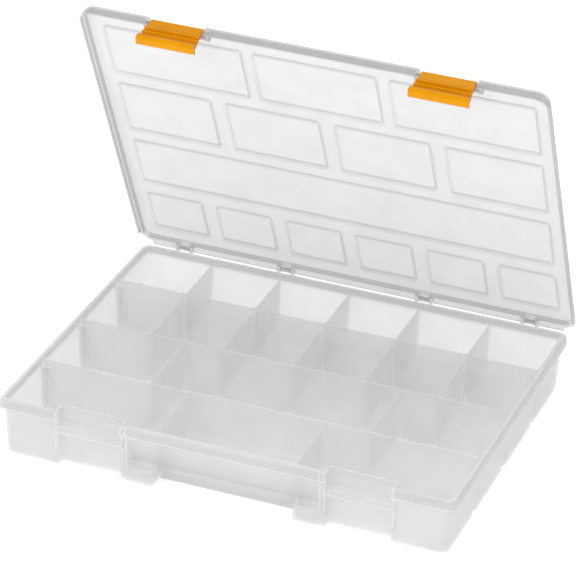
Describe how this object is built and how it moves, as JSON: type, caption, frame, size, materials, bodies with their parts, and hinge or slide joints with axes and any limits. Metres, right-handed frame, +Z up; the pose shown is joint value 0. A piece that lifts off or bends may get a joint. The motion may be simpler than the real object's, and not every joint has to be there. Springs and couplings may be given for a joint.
{
  "type": "parts sorting tray",
  "caption": "Flat translucent compartment box with fixed dividers, a hinged lid standing open and two orange snap latches on its front edge.",
  "frame": {"origin": "centre of the tray's underside, on the surface it stands on", "axes": "+Z up, +X along the tray's long side to the right, -Y towards the front with the latches"},
  "size_m": [0.3772, 0.2981, 0.3129],
  "materials": {
    "milky_plastic": "translucent polypropylene, semi-gloss",
    "clear_plastic": "clear polypropylene, glossy",
    "orange_plastic": "opaque, glossy",
    "pin_steel": "bright"
  },
  "bodies": {
    "base": {"base_tray": "milky_plastic"},
    "lid": {"lid": "clear_plastic", "latch_pin_left": "pin_steel", "latch_pin_right": "pin_steel"},
    "latch_left": {"latch_left": "orange_plastic"},
    "latch_right": {"latch_right": "orange_plastic"}
  },
  "joints": [
    {"name": "lid_hinge", "type": "hinge", "parent": "base", "child": "lid", "pos_m": [0, 0.1492, 0.049], "axis": [-1, 0, 0], "range_deg": [-62, 48]},
    {"name": "latch_left_hinge", "type": "hinge", "parent": "lid", "child": "latch_left", "pos_m": [-0.109, 0.01442, 0.30759], "axis": [-1, 0, 0], "range_deg": [-12, 70]},
    {"name": "latch_right_hinge", "type": "hinge", "parent": "lid", "child": "latch_right", "pos_m": [0.109, 0.01442, 0.30759], "axis": [-1, 0, 0], "range_deg": [-12, 70]}
  ]
}
